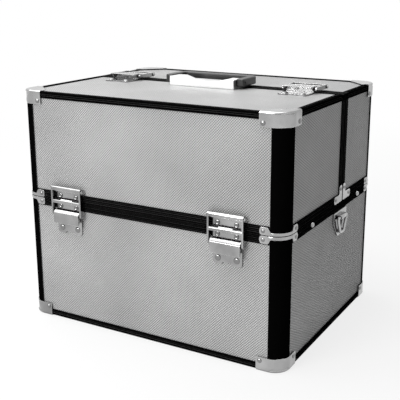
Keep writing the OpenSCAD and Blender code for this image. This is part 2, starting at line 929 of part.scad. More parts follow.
// A shield-shaped plate with a roll that holds the ring's bar
module hanger_plate() {
    half = hanger_w / 2;
    difference() {
        union() {
            translate([0, 0, -board_out]) linear_extrude(board_out + hanger_plate_w)
                polygon([
                    [-half, hanger_top], [-half, hanger_top - hanger_shoulder],
                    [-half * 0.35, hanger_top - hanger_foot],
                    [half * 0.35, hanger_top - hanger_foot],
                    [half, hanger_top - hanger_shoulder], [half, hanger_top]
                ]);
            rod_x(-hanger_roll_half, hanger_roll_half, hanger_bar_v, hanger_bar_w,
                  hanger_roll_r);
            block([-hanger_roll_half, hanger_bar_v - hanger_roll_r, 0],
                  [hanger_roll_half, hanger_bar_v + hanger_roll_r, hanger_bar_w]);
        }
        rod_x(-hanger_w, hanger_w, hanger_bar_v, hanger_bar_w, wire_r + running);
    }
}

module hanger_rivets() {
    for (sx = [-1, 1])
        translate([sx * hanger_w / 7, hanger_top - hanger_rivet_drop, hanger_plate_w])
            dome(rivet_r * 0.8, rivet_h / 2);
}

module hanger_plates() {
    color(bright_metal) both_sides() hanger_on_right() hanger_plate();
}

// How far a leg's centre line stands from the ring's middle at the height v
function leg_at(v) = ring_half - (hanger_bar_v - v) * tan(ring_lean);

// The ring: a round bar in the roll, two pressed legs that draw together and a foot
module ring() {
    top = hanger_bar_v + 0.9 * wire_r;
    low = hanger_bar_v - ring_drop;
    side = wire_r / cos(ring_lean);
    rod_x(-ring_half, ring_half, hanger_bar_v, hanger_bar_w, wire_r);
    translate([0, 0, hanger_bar_w - wire_flat / 2]) linear_extrude(wire_flat) polygon([
        [-leg_at(top) - side, top], [-leg_at(low - wire_r) - side, low - wire_r],
        [leg_at(low - wire_r) + side, low - wire_r], [leg_at(top) + side, top],
        [leg_at(top) - side, top], [leg_at(low + wire_r) - side, low + wire_r],
        [-leg_at(low + wire_r) + side, low + wire_r], [-leg_at(top) + side, top]
    ]);
}

// ---------------------------------------------------------------- trays

// A tray arm, drawn from its pivot at the origin along +Y
module tray_arm() {
    difference() {
        union() {
            cylinder(r = arm_r, h = arm_t);
            translate([0, arm_high, 0]) cylinder(r = arm_r, h = arm_t);
            translate([-arm_r, 0, 0]) cube([2 * arm_r, arm_high, arm_t]);
        }
        for (y = [0, arm_low, arm_high])
            translate([0, y, -cut]) cylinder(r = arm_pin_r + running, h = arm_t + 2 * cut);
    }
}

module tray_arms(y) {
    color(bright_metal) both_sides() translate([arm_x, y, arm_pivot_z])
        rotate([arm_lean, 0, 0]) rotate([90, 0, 90]) tray_arm();
}

// The place of a tray's pin on an arm that turns about y
function pin_y(y, reach) = y - reach * sin(arm_lean);
function pin_z(reach) = arm_pivot_z + reach * cos(arm_lean);

// A moulded tray in compartments, with its pins at the distance `reach` along the arms
module tray(reach, back, z0) {
    y0 = -half_d + tray_front - cap_t;
    depth = pin_y(arm_rear, reach) + back - y0;
    cell_w = (2 * tray_side_x - tray_wall) / tray_columns;
    cell_d = (depth - tray_wall) / tray_rows;
    color(tray_grey) {
        difference() {
            block([-tray_side_x, y0, z0], [tray_side_x, y0 + depth, z0 + tray_h]);
            for (i = [0:tray_columns - 1])
                for (j = [0:tray_rows - 1])
                    block([-tray_side_x + tray_wall + i * cell_w, y0 + tray_wall + j * cell_d,
                           z0 + tray_wall],
                          [-tray_side_x + (i + 1) * cell_w, y0 + (j + 1) * cell_d,
                           z0 + tray_h + cut]);
        }
        both_sides() for (y = [arm_front, arm_rear])
            rod_x(tray_side_x - tray_wall / 2, arm_x + arm_t + slack, pin_y(y, reach),
                  pin_z(reach), arm_pin_r);
    }
}

module tray_lower() {
    tray(arm_low, tray_low_back, pin_z(arm_low) - tray_low_pin);
}

module tray_upper() {
    tray(arm_high, tray_high_back, pin_z(arm_high) - tray_high_pin);
}

base_front_panel();
base_back_panel();
base_side_panels();
base_floor_panel();
base_edging();
base_posts();
base_rim();
base_caps();
base_brackets();
base_rivets();
base_lining();
front_latch_plates();
front_lever_pins();
rear_hinge_lower();
hanger_plates();
arm_screws();
lid_top_panel(front_depth);  // front_lid_top_panel
lid_end_panel();  // front_lid_front_panel
lid_side_panels(front_depth);  // front_lid_side_panels
lid_edging(front_depth);  // front_lid_edging
lid_posts();  // front_lid_posts
lid_frame(front_depth);  // front_lid_frame
lid_caps();  // front_lid_caps
lid_brackets(front_depth);  // front_lid_brackets
front_lid_rivets();
lid_lining(front_depth);  // front_lid_lining
front_catch_plates();
front_strap_pins();
top_latch_plates();
top_lever_pins();
handle_plate();
handle_pins();
mirror([0, 1, 0]) lid_top_panel(rear_depth);  // rear_lid_top_panel
mirror([0, 1, 0]) lid_end_panel();  // rear_lid_back_panel
mirror([0, 1, 0]) lid_side_panels(rear_depth);  // rear_lid_side_panels
mirror([0, 1, 0]) lid_edging(rear_depth);  // rear_lid_edging
mirror([0, 1, 0]) lid_posts();  // rear_lid_posts
mirror([0, 1, 0]) lid_frame(rear_depth);  // rear_lid_frame
mirror([0, 1, 0]) lid_caps();  // rear_lid_caps
mirror([0, 1, 0]) lid_brackets(rear_depth);  // rear_lid_brackets
rear_lid_rivets();
mirror([0, 1, 0]) lid_lining(rear_depth);  // rear_lid_lining
top_catch_plates();
top_strap_pins();
rear_hinge_upper();
rear_hinge_pins();
color(bright_metal) latch_on_front(-front_latch_x) lever();  // front_lever_left
color(bright_metal) latch_on_front(front_latch_x) lever();  // front_lever_right
color(bright_metal) latch_on_front(-front_latch_x) strap();  // front_strap_left
color(bright_metal) latch_on_front(front_latch_x) strap();  // front_strap_right
color(bright_metal) latch_on_top(-top_latch_x) lever();  // top_lever_left
color(bright_metal) latch_on_top(top_latch_x) lever();  // top_lever_right
top_straps();
handle_grip();
color(bright_metal) mirror([1, 0, 0]) hanger_on_right() ring();  // ring_left
color(bright_metal) hanger_on_right() ring();  // ring_right
tray_arms(arm_front);  // tray_arms_front
tray_arms(arm_rear);  // tray_arms_rear
tray_lower();
tray_upper();
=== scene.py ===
"""The looks of the makeup train case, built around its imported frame. Lengths are in metres."""
import math

import bmesh
import bpy
from mathutils import Matrix, Vector


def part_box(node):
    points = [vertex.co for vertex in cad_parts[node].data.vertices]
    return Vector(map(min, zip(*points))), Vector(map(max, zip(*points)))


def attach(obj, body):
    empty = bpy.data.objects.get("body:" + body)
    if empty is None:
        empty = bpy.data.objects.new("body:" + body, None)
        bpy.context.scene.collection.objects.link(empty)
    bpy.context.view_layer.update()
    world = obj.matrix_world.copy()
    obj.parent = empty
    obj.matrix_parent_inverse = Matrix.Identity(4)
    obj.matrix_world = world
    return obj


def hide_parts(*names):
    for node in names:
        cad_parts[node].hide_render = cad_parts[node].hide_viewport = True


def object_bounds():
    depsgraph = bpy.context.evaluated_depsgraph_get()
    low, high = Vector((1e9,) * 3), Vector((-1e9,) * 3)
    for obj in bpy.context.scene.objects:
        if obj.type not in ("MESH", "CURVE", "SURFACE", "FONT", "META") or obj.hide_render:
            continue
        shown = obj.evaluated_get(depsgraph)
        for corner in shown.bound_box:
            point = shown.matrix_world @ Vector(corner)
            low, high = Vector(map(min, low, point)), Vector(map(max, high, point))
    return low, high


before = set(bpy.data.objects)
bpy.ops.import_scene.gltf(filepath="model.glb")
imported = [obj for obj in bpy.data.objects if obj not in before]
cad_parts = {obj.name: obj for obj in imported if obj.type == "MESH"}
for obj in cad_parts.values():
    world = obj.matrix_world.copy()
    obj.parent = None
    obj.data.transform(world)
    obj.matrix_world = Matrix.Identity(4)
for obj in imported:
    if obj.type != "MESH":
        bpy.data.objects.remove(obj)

cad_low, cad_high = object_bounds()
scene = bpy.context.scene
MM = 0.001


# ------------------------------------------------------------------ node trees

def add_node(tree, kind, settings=None, **inputs):
    """Adds a node; an input is a value for a socket or another node's socket to link from."""
    node = tree.nodes.new(kind)
    for key, value in (settings or {}).items():
        setattr(node, key, value)
    for key, value in inputs.items():
        socket = node.inputs[int(key[1:]) if key[1:].isdigit() else key.replace("_", " ")]
        if isinstance(value, bpy.types.NodeSocket):
            tree.links.new(value, socket)
        else:
            socket.default_value = value
    return node


def math_node(tree, operation, *values):
    node = add_node(tree, "ShaderNodeMath", {"operation": operation},
                    **{f"_{i}": v for i, v in enumerate(values)})
    return node.outputs[0]


def ramp_node(tree, value, low, high, start=0.0, end=1.0):
    """Runs a value smoothly from start at low to end at high."""
    node = add_node(tree, "ShaderNodeMapRange", {"interpolation_type": "SMOOTHSTEP"},
                    Value=value, From_Min=low, From_Max=high, To_Min=start, To_Max=end)
    return node.outputs[0]


def mix_colours(tree, factor, a, b):
    node = add_node(tree, "ShaderNodeMix", {"data_type": "RGBA"}, _0=factor, _6=a, _7=b)
    return node.outputs[2]


def make_group(name, inputs, outputs, build):
    """A shader node group; inputs and outputs are (name, socket kind, default)."""
    tree = bpy.data.node_groups.new(name, "ShaderNodeTree")
    for label, kind, default in inputs:
        socket = tree.interface.new_socket(name=label, in_out="INPUT", socket_type=kind)
        if default is not None:
            socket.default_value = default
    for label, kind in outputs:
        tree.interface.new_socket(name=label, in_out="OUTPUT", socket_type=kind)
    source = tree.nodes.new("NodeGroupInput")
    target = tree.nodes.new("NodeGroupOutput")
    results = build(tree, source.outputs)
    for label, socket in results.items():
        tree.links.new(socket, target.inputs[label])
    return tree


FLOAT = "NodeSocketFloat"
SIDE_STRETCH = 1.8       # the emboss is this much longer along the sides than on the front
FACING = 0.7             # a face whose normal leans further than this along an axis faces it


def build_flat_coordinates(tree, _given):
    """Coordinates in the plane of the surface, whichever way that faces, in millimetres.
    Along the sides they are compressed by SIDE_STRETCH."""
    place = tree.nodes.new("ShaderNodeTexCoord")
    normal = add_node(tree, "ShaderNodeSeparateXYZ", Vector=place.outputs["Normal"])
    point = add_node(tree, "ShaderNodeSeparateXYZ", Vector=place.outputs["Object"])
    on_side = math_node(tree, "GREATER_THAN",
                        math_node(tree, "ABSOLUTE", normal.outputs["X"]), FACING)
    on_top = math_node(tree, "GREATER_THAN",
                       math_node(tree, "ABSOLUTE", normal.outputs["Z"]), FACING)
    x, y, z = (math_node(tree, "MULTIPLY", point.outputs[i], 1000.0) for i in range(3))
    along = math_node(tree, "DIVIDE", y, SIDE_STRETCH)
    across = add_node(tree, "ShaderNodeMix", _0=on_side, _2=x, _3=along).outputs[0]
    up = add_node(tree, "ShaderNodeMix", _0=on_top, _2=z, _3=y).outputs[0]
    return {"Across": across, "Up": up}


flat_coordinates = make_group("flat_coordinates", [], [("Across", FLOAT), ("Up", FLOAT)],
                              build_flat_coordinates)


def place_group(tree, group, **inputs):
    """Adds a shared group to a tree; returns its outputs."""
    return add_node(tree, "ShaderNodeGroup", {"node_tree": group}, **inputs).outputs


def build_diamond_emboss(tree, given):
    """Rows of small raised lozenges, staggered like a basket weave."""
    flat = place_group(tree, flat_coordinates)
    u = math_node(tree, "DIVIDE", flat["Across"], given["Pitch"])
    v = math_node(tree, "DIVIDE", flat["Up"], given["Pitch"])
    rising = math_node(tree, "SUBTRACT", u, v)
    falling = math_node(tree, "ADD", u, v)
    turn = 2 * math.pi
    wave_a = math_node(tree, "COSINE", math_node(tree, "MULTIPLY", rising, turn))
    wave_b = math_node(tree, "COSINE", math_node(tree, "MULTIPLY", falling, turn))
    strong = math_node(tree, "MULTIPLY_ADD", wave_a, 0.3, 0.5)
    height = math_node(tree, "MULTIPLY_ADD", wave_b, 0.2, strong)
    return {"Height": height}


diamond_emboss = make_group("diamond_emboss", [("Pitch", FLOAT, 3.2)], [("Height", FLOAT)],
                            build_diamond_emboss)


def build_mottle(tree, given):
    """Slow cloudy change over the surface, between two values."""
    place = tree.nodes.new("ShaderNodeTexCoord")
    noise = add_node(tree, "ShaderNodeTexNoise", Vector=place.outputs["Object"],
                     Scale=given["Scale"], Detail=3.0)
    value = add_node(tree, "ShaderNodeMapRange", Value=noise.outputs["Fac"], From_Min=0.3,
                     From_Max=0.7, To_Min=given["Low"], To_Max=given["High"])
    return {"Value": value.outputs[0]}


mottle = make_group("mottle", [("Scale", FLOAT, 20.0), ("Low", FLOAT, 0.0), ("High", FLOAT, 1.0)],
                    [("Value", FLOAT)], build_mottle)


def build_hollow_shade(tree, given):
    """Painted shade for a base colour: 1 in the open, falling to Darkest in the hollows where
    pieces stand close together.
    """
    near = add_node(tree, "ShaderNodeAmbientOcclusion", {"samples": 8}, Distance=given["Reach"])
    value = ramp_node(tree, near.outputs["AO"], 0.1, 0.9, given["Darkest"], 1.0)
    return {"Value": value}


painted_hollow_shade = make_group("painted_hollow_shade", [("Reach", FLOAT, 0.005), ("Darkest", FLOAT, 0.4)],
                          [("Value", FLOAT)], build_hollow_shade)


def build_worn_edges(tree, given):
    """The mask of a painted highlight: 1 along a piece's outer and inner edges, 0 on its faces."""
    eased = add_node(tree, "ShaderNodeBevel", {"samples": 10}, Radius=given["Width"])
    face = tree.nodes.new("ShaderNodeNewGeometry")
    bend = add_node(tree, "ShaderNodeVectorMath", {"operation": "DOT_PRODUCT"},
                    _0=eased.outputs["Normal"], _1=face.outputs["Normal"])
    return {"Mask": ramp_node(tree, bend.outputs["Value"], 0.75, 0.98, 1.0, 0.0)}


painted_edge_highlights = make_group("painted_edge_highlights", [("Width", FLOAT, 0.0008)], [("Mask", FLOAT)],
                        build_worn_edges)


def build_fine_grain(tree, given):
    """A fine even grain for bump."""
    place = tree.nodes.new("ShaderNodeTexCoord")
    noise = add_node(tree, "ShaderNodeTexNoise", Vector=place.outputs["Object"],
                     Scale=given["Scale"], Detail=4.0, Roughness=0.6)
    return {"Height": noise.outputs["Fac"]}


fine_grain = make_group("fine_grain", [("Scale", FLOAT, 900.0)], [("Height", FLOAT)],
                        build_fine_grain)


# ------------------------------------------------------------------ materials

def new_material(name, **shader):
    """A material with one Principled shader; constants go on the shader's own sockets."""
    material = bpy.data.materials.new(name)
    material.use_nodes = True
    tree = material.node_tree
    surface = tree.nodes["Principled BSDF"]
    for key, value in shader.items():
        surface.inputs[key.replace("_", " ")].default_value = value
    return material, tree, surface.inputs


def bump(tree, height, distance):
    node = add_node(tree, "ShaderNodeBump", Height=height, Distance=distance, Strength=1.0)
    return node.outputs["Normal"]


def grey(value):
    return (value, value, value, 1.0)


def embossed_laminate():
    """Pale lozenges on a darker ground, a little cloudy, with painted shade darkening it where
    boards meet profiles and hardware.
    """
    material, tree, inputs = new_material("embossed_laminate", Roughness=0.45,
                                           Specular_IOR_Level=0.25)
    emboss = place_group(tree, diamond_emboss, Pitch=3.2)
    clouds = place_group(tree, mottle, Scale=8.0, Low=0.0, High=1.0)
    low = mix_colours(tree, clouds["Value"], grey(0.09), grey(0.15))
    high = mix_colours(tree, clouds["Value"], grey(0.5), grey(0.62))
    # painted shade: the board's colour runs towards black beside profiles and hardware, a painted
    # contact shadow
    painted_shade = place_group(tree, painted_hollow_shade, Reach=0.004, Darkest=0.45)
    paint = mix_colours(tree, emboss["Height"], low, high)
    tree.links.new(mix_colours(tree, painted_shade["Value"], grey(0.0), paint), inputs["Base Color"])
    tree.links.new(bump(tree, emboss["Height"], 0.0004), inputs["Normal"])
    return material


def plain_finish(name, colour, rough, metallic=0.0, grain=900.0, depth=0.00002, spread=0.08,
                 gloss=0.5, darkest=1.0, worn=0.0):
    """A finish with a soft cloudy change of shade and roughness and a fine grain, and where asked,
    painted shade in its hollows and a painted highlight along its edges.
    """
    material, tree, inputs = new_material(name, Metallic=metallic, Specular_IOR_Level=gloss)
    shade = place_group(tree, mottle, Scale=25.0, Low=0.0, High=1.0)
    paint = mix_colours(tree, shade["Value"], grey(colour * (1 - spread)),
                        grey(colour * (1 + spread)))
    # painted shade: the base colour runs towards black in the hollows, down to darkest
    if darkest < 1.0:
        painted_shade = place_group(tree, painted_hollow_shade, Reach=0.008, Darkest=darkest)
        paint = mix_colours(tree, painted_shade["Value"], grey(0.0), paint)
    # painted highlight: the base colour runs to a pale grey along the edges, as if they caught the
    # lamps
    if worn > 0.0:
        edges = place_group(tree, painted_edge_highlights, Width=0.0009)
        paint = mix_colours(tree, edges["Mask"], paint, grey(worn))
    tree.links.new(paint, inputs["Base Color"])
    sheen = place_group(tree, mottle, Scale=60.0, Low=rough * 0.85, High=rough * 1.15)
    tree.links.new(sheen["Value"], inputs["Roughness"])
    tree.links.new(bump(tree, place_group(tree, fine_grain, Scale=grain)["Height"], depth),
                   inputs["Normal"])
    return material


# A darkest under 1 puts painted shade in a finish's hollows; the last value given to the black
# profile and the bright nickel puts a painted highlight along their edges.
FINISHES = {
    "board_laminate": embossed_laminate(),
    # Black profile: its pale edges are painted highlight lines along its ridges and grooves.
    "profile_black": plain_finish("black_profile", 0.0015, 0.22, depth=0.00001, gloss=0.0,
                                  worn=0.06),
    # Bright nickel: its base colour, darker than nickel's own, and its wide cloudy spread are a
    # painted uneven reflection.
    "bright_metal": plain_finish("bright_nickel", 0.36, 0.17, metallic=1.0, depth=0.000004,
                                 spread=0.3, darkest=0.2, worn=0.9),
    "rivet_steel": plain_finish("rivet_steel", 0.24, 0.22, metallic=1.0, darkest=0.3),
    "bright_cover": plain_finish("bright_cover", 0.85, 0.33, metallic=1.0, depth=0.000004,
                                 darkest=0.3),
    "pin_steel": plain_finish("pin_steel", 0.5, 0.25, metallic=1.0, darkest=0.4),
    "arm_steel": plain_finish("arm_steel", 0.5, 0.3, metallic=1.0),
    "lining_cloth": plain_finish("lining_cloth", 0.012, 0.95, grain=2500.0, depth=0.0002),
    "grip_plastic": plain_finish("grip_plastic", 0.01, 0.38, depth=0.00003),
    "tray_plastic": plain_finish("tray_plastic", 0.03, 0.45, depth=0.00003),
}

for node_name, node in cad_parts.items():
    for index, used in enumerate(node.material_slots):
        slot_name = used.material.name.split(".")[0] if used.material else ""
        node.material_slots[index].material = FINISHES.get(slot_name, FINISHES["bright_metal"])
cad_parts["handle_plate"].material_slots[0].material = FINISHES["bright_cover"]


EASED_NODE_EDGE = 0.3    # millimetres


def soften(piece, edge):
    """Eases a piece's sharp edges."""
    bevel = piece.modifiers.new("eased_edges", "BEVEL")
    bevel.width = edge * MM
    bevel.segments = 2
    bevel.limit_method = "ANGLE"
    bevel.angle_limit = math.radians(40)
    bevel.harden_normals = True


for node_name in ("handle_plate", "hanger_plates", "rear_hinge_lower", "rear_hinge_upper",
                  "base_edging", "front_lid_edging", "rear_lid_edging", "base_rim",
                  "front_lid_frame", "rear_lid_frame"):
    kept_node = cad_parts[node_name]
    kept_node.modifiers.new("joined_points", "WELD").merge_threshold = 0.00001
    soften(kept_node, EASED_NODE_EDGE)


# ------------------------------------------------------------------ measures, in millimetres

def mm_box(node):
    low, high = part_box(node)
    return low / MM, high / MM


post_low, post_high = mm_box("base_posts")
lid_low, lid_high = mm_box("front_lid_posts")
HALF_W, HALF_D = post_high.x, post_high.y
BOTTOM, TOP = post_low.z, lid_high.z
BELT = (post_high.z + lid_low.z) / 2
SPLIT = (mm_box("front_lid_frame")[1].y + mm_box("rear_lid_frame")[0].y) / 2
SEAM = lid_low.z - post_high.z
CORNER_R = 19.0
CHANNEL_W = 10.3
BOARD_OUT = 1.0
FRONT_LATCH_X = sum(v.x for v in mm_box("front_lever_right")) / 2
TOP_LATCH_X = sum(v.x for v in mm_box("top_lever_right")) / 2
STRAP_HALF = mm_box("front_strap_right")[1].x - FRONT_LATCH_X
LEVER_HALF = mm_box("front_lever_right")[1].x - FRONT_LATCH_X
STRAP_PIN = (15.5, 4.2)
LEVER_PIN = (-14.5, 5.0)
TAIL_END = -42.5
RIVET_R = 2.9


# ------------------------------------------------------------------ places on the case

def wall(side, along, up):
    """Takes (across, up, out) on a face of the case, in millimetres, to the case's metres."""
    across, upward, out, origin = {
        "front": ((1, 0, 0), (0, 0, 1), (0, -1, 0), (along, -HALF_D, up)),
        "rear": ((-1, 0, 0), (0, 0, 1), (0, 1, 0), (along, HALF_D, up)),
        "right": ((0, 1, 0), (0, 0, 1), (1, 0, 0), (HALF_W, along, up)),
        "left": ((0, -1, 0), (0, 0, 1), (-1, 0, 0), (-HALF_W, along, up)),
        "top": ((1, 0, 0), (0, 1, 0), (0, 0, 1), (along, up, TOP)),
    }[side]
    columns = Matrix((across, upward, out)).transposed().to_4x4()
    return Matrix.Scale(MM, 4) @ Matrix.Translation(origin) @ columns


def corner(side_x, side_y, height, down):
    """Takes (in from the side, in from the end, along the post) at a corner to metres."""
    columns = Matrix(((-side_x, 0, 0), (0, -side_y, 0), (0, 0, down))).to_4x4()
    origin = (side_x * HALF_W, side_y * HALF_D, height)
    return Matrix.Scale(MM, 4) @ Matrix.Translation(origin) @ columns


# ------------------------------------------------------------------ mesh work

def flat(p, q, h):
    """An outline lying on the face, raised outwards."""
    return (p, q, h)


def side_on(p, q, h):
    """An outline seen from the side, drawn out across the face."""
    return (h, p, q)


def rounded(points, radius, steps=4, closed=True):
    """A line with its corners rounded; a point may carry its own radius as a third value."""
    result = []
    count = len(points)
    for i, point in enumerate(points):
        here = Vector(point[:2])
        r = point[2] if len(point) > 2 else radius
        if r <= 0 or (not closed and i in (0, count - 1)):
            result.append(here)
            continue
        before = (Vector(points[i - 1][:2]) - here).normalized()
        after = (Vector(points[(i + 1) % count][:2]) - here).normalized()
        half = before.angle(after) / 2
        centre = here + (before + after).normalized() * (r / math.sin(half))
        first = here + before * (r / math.tan(half)) - centre
        last = here + after * (r / math.tan(half)) - centre
        start = math.atan2(first.y, first.x)
        turn = (math.atan2(last.y, last.x) - start + math.pi) % (2 * math.pi) - math.pi
        for k in range(steps + 1):
            angle = start + turn * k / steps
            result.append(centre + Vector((math.cos(angle), math.sin(angle))) * r)
    return result


def prism(net, outline, low, high, turn=flat):
    """A solid with this outline between two heights."""
    lower = [net.verts.new(turn(p[0], p[1], low)) for p in outline]
    upper = [net.verts.new(turn(p[0], p[1], high)) for p in outline]
    net.faces.new(lower[::-1])
    net.faces.new(upper)
    for a in range(len(outline)):
        b = (a + 1) % len(outline)
        net.faces.new((lower[a], lower[b], upper[b], upper[a]))


def bent_sheet(net, path, thick, low, high, bend=1.2):
    """A sheet bent along a path of (up, out), drawn out across from low to high."""
    line = rounded(path, bend, closed=False)
    left, right = [], []
    for i, point in enumerate(line):
        ahead = line[min(i + 1, len(line) - 1)] - line[max(i - 1, 0)]
        aside = Vector((-ahead.y, ahead.x)).normalized() * (thick / 2)
        left.append(point + aside)
        right.append(point - aside)
    prism(net, left + right[::-1], low, high, side_on)


def spun(net, centre, profile, turn=flat, steps=20):
    """A round solid from a profile of (radius, height), which starts on the axis."""
    rings = []
    for radius, height in profile:
        count = steps if radius > 0 else 1
        ring = []
        for k in range(count):
            angle = 2 * math.pi * k / steps
            ring.append(net.verts.new(turn(centre[0] + radius * math.cos(angle),
                                           centre[1] + radius * math.sin(angle),
                                           centre[2] + height)))
        rings.append(ring)
    for inner, outer in zip(rings, rings[1:]):
        for k in range(steps):
            nxt = (k + 1) % steps
            if len(inner) == 1:
                net.faces.new((inner[0], outer[k], outer[nxt]))
            elif len(outer) == 1:
                net.faces.new((inner[k], outer[0], inner[nxt]))
            else:
                net.faces.new((inner[k], outer[k], outer[nxt], inner[nxt]))
    if len(rings[-1]) > 1:
        net.faces.new(rings[-1][::-1])


def rod(net, start, end, up, out, radius, edge=0.25):
    """A round rod across the face, with its ends eased."""
    spun(net, (up, out, start), [(0, 0), (radius - edge, 0), (radius, edge),
                                 (radius, end - start - edge), (radius - edge, end - start),
                                 (0, end - start)], side_on)


def dome(net, centre, radius, height, steps=6):
    """A domed rivet head that stands on the face."""
    profile = [(radius * math.sin(math.pi / 2 * k / steps),
                height * math.cos(math.pi / 2 * k / steps)) for k in range(steps + 1)]
    spun(net, centre, profile + [(radius, -0.3)])


def eyelet(net, centre, radius):
    """A rivet head with a rolled rim and a shallow dish in its middle."""
    spun(net, centre, [(0, 0.3), (radius * 0.3, 0.35), (radius * 0.48, 0.8),
                       (radius * 0.7, 1.0), (radius * 0.9, 0.75), (radius, 0.2), (radius, -0.3)])


def tube(net, path, radius, closed=True, sides=12):
    """A round wire along a path that lies level over the face."""
    rings = []
    count = len(path)
    for i, point in enumerate(path):
        ahead = path[(i + 1) % count] if closed or i < count - 1 else point
        behind = path[i - 1] if closed or i else point
        run = (Vector(ahead) - Vector(behind)).normalized()
        aside = Vector((-run.y, run.x, 0))
        turns = [2 * math.pi * k / sides for k in range(sides)]
        rings.append([net.verts.new(Vector(point) + aside * radius * math.cos(turn)
                                    + Vector((0, 0, 1)) * radius * math.sin(turn))
                      for turn in turns])
    for i in range(count if closed else count - 1):
        a, b = rings[i], rings[(i + 1) % count]
        for k in range(sides):
            net.faces.new((a[k], b[k], b[(k + 1) % sides], a[(k + 1) % sides]))
    if not closed:
        net.faces.new(rings[0])
        net.faces.new(rings[-1][::-1])


def shell(net, outer, inner):
    """A closed sheet between two grids of points of the same size."""
    rows, columns = len(outer), len(outer[0])
    above = [[net.verts.new(p) for p in row] for row in outer]
    below = [[net.verts.new(p) for p in row] for row in inner]
    for i in range(rows - 1):
        for j in range(columns - 1):
            net.faces.new((above[i][j], above[i][j + 1], above[i + 1][j + 1], above[i + 1][j]))
            net.faces.new((below[i][j], below[i + 1][j], below[i + 1][j + 1], below[i][j + 1]))
    rim = ([(0, j) for j in range(columns)] + [(i, columns - 1) for i in range(1, rows)]
           + [(rows - 1, j) for j in range(columns - 2, -1, -1)]
           + [(i, 0) for i in range(rows - 2, 0, -1)])
    for a, b in zip(rim, rim[1:] + rim[:1]):
        net.faces.new((above[a[0]][a[1]], below[a[0]][a[1]], below[b[0]][b[1]],
                       above[b[0]][b[1]]))


def make_piece(name, parts, slot_name, body, nodes, edge=0.25, finish=None):
    """One piece from (mesh builder, places) pairs, each built in millimetres at each place."""
    whole = bmesh.new()
    for build, places in parts:
        for place in places:
            net = bmesh.new()
            build(net)
            bmesh.ops.transform(net, matrix=place, verts=net.verts)
            bmesh.ops.recalc_face_normals(net, faces=net.faces)
            mesh = bpy.data.meshes.new("part")
            net.to_mesh(mesh)
            net.free()
            whole.from_mesh(mesh)
            bpy.data.meshes.remove(mesh)
    mesh = bpy.data.meshes.new(name)
    whole.to_mesh(mesh)
    whole.free()
    mesh.polygons.foreach_set("use_smooth", [True] * len(mesh.polygons))
    mesh.set_sharp_from_angle(angle=math.radians(35))
    mesh.materials.append(FINISHES[finish or slot_name])
    piece = bpy.data.objects.new(name, mesh)
    scene.collection.objects.link(piece)
    if edge:
        soften(piece, edge)
    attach(piece, body)
    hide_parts(*nodes)
    return piece


# ------------------------------------------------------------------ latches

def latch_strap(net):
    """Two side arms, a rolled top and a ledge that bridges the seam."""
    pin_up, pin_out = STRAP_PIN
    top, foot, front = pin_up + 4.1, -18.5, pin_out + 2.8
    for side in (-1, 1):
        outer, inner = side * STRAP_HALF, side * (STRAP_HALF - 2.2)
        arm = rounded([(foot, 1.7), (foot, front), (top, front), (top, 1.7)], 2.5)
        prism(net, arm, min(outer, inner), max(outer, inner), side_on)
    bent_sheet(net, [(top - 0.6, 3.5), (top - 0.6, front - 0.6), (top - 5.4, front - 0.6)],
               1.2, -STRAP_HALF + 0.2, STRAP_HALF - 0.2, bend=2.4)
    notch, half = 9.0, STRAP_HALF - 0.2
    for start, end, back in ((-half, -notch, 3.0), (-notch, notch, 4.6), (notch, half, 3.0)):
        bent_sheet(net, [(2.8, back), (0.8, front - 0.7), (-2.4, front - 0.7)], 1.2, start, end,
                   bend=1.0)


def strap_pin(net):
    """The strap's pin with a round head at each end."""
    out = STRAP_HALF + 0.3
    rod(net, -out, out, *STRAP_PIN, 1.25)
    for start in (-out - 1.3, out):
        rod(net, start, start + 1.3, *STRAP_PIN, 2.3, edge=0.7)


def latch_lever(net):
    """A bent lever: a sloping top over its roll, a flat face and an ear at each side."""
    pin_up, pin_out = LEVER_PIN
    front, foot = pin_out + 2.8, -28.0
    bent_sheet(net, [(pin_up + 2.8, 4.3), (pin_up + 2.8, 5.0), (pin_up - 0.7, front),
                     (foot + 1.2, front), (foot, front + 0.1)], 0.6, -LEVER_HALF, LEVER_HALF,
               bend=0.9)
    ear = rounded([(pin_up + 3.1, 3.0), (pin_up + 3.1, 5.1), (pin_up - 0.5, front + 0.2),
                   (foot + 0.8, front + 0.2), (foot + 0.8, front - 1.2), (pin_up - 4.5, 4.0),
                   (pin_up - 3.5, 3.0)], 0.6)
    for side in (-1, 1):
        prism(net, ear, min(side * LEVER_HALF, side * (LEVER_HALF - 1.4)),
              max(side * LEVER_HALF, side * (LEVER_HALF - 1.4)), side_on)


def latch_plate(net):
    """The plate under the lever, its roll and its notched tail."""
    pin_up, pin_out = LEVER_PIN
    step, half = pin_up - 2.0, 18.0
    prism(net, rounded([(-half, step), (half, step), (half, -0.8), (-half, -0.8)], 0.6), 0, 1.5)
    tail = [(-19, step + 1, 0.3), (-19, TAIL_END, 3.5), (-7.5, TAIL_END, 1.2),
            (-5.5, TAIL_END + 2.6, 1.0), (5.5, TAIL_END + 2.6, 1.0), (7.5, TAIL_END, 1.2),
            (19, TAIL_END, 3.5), (19, step + 1, 0.3)]
    prism(net, rounded(tail, 1), -BOARD_OUT, 0.75)
    prism(net, [(-half, step), (half, step), (half, -CHANNEL_W - 0.3), (-half, -CHANNEL_W - 0.3)],
          -BOARD_OUT, 0.4)
    roll = LEVER_HALF - 1.8
    rod(net, -roll, roll, pin_up, pin_out, 1.3)
    bent_sheet(net, [(step + 0.5, 0.8), (step + 0.5, pin_out)], 1.0, -roll, roll)


def lever_pin(net):
    rod(net, -LEVER_HALF - 0.2, LEVER_HALF + 0.2, *LEVER_PIN, 1.0)


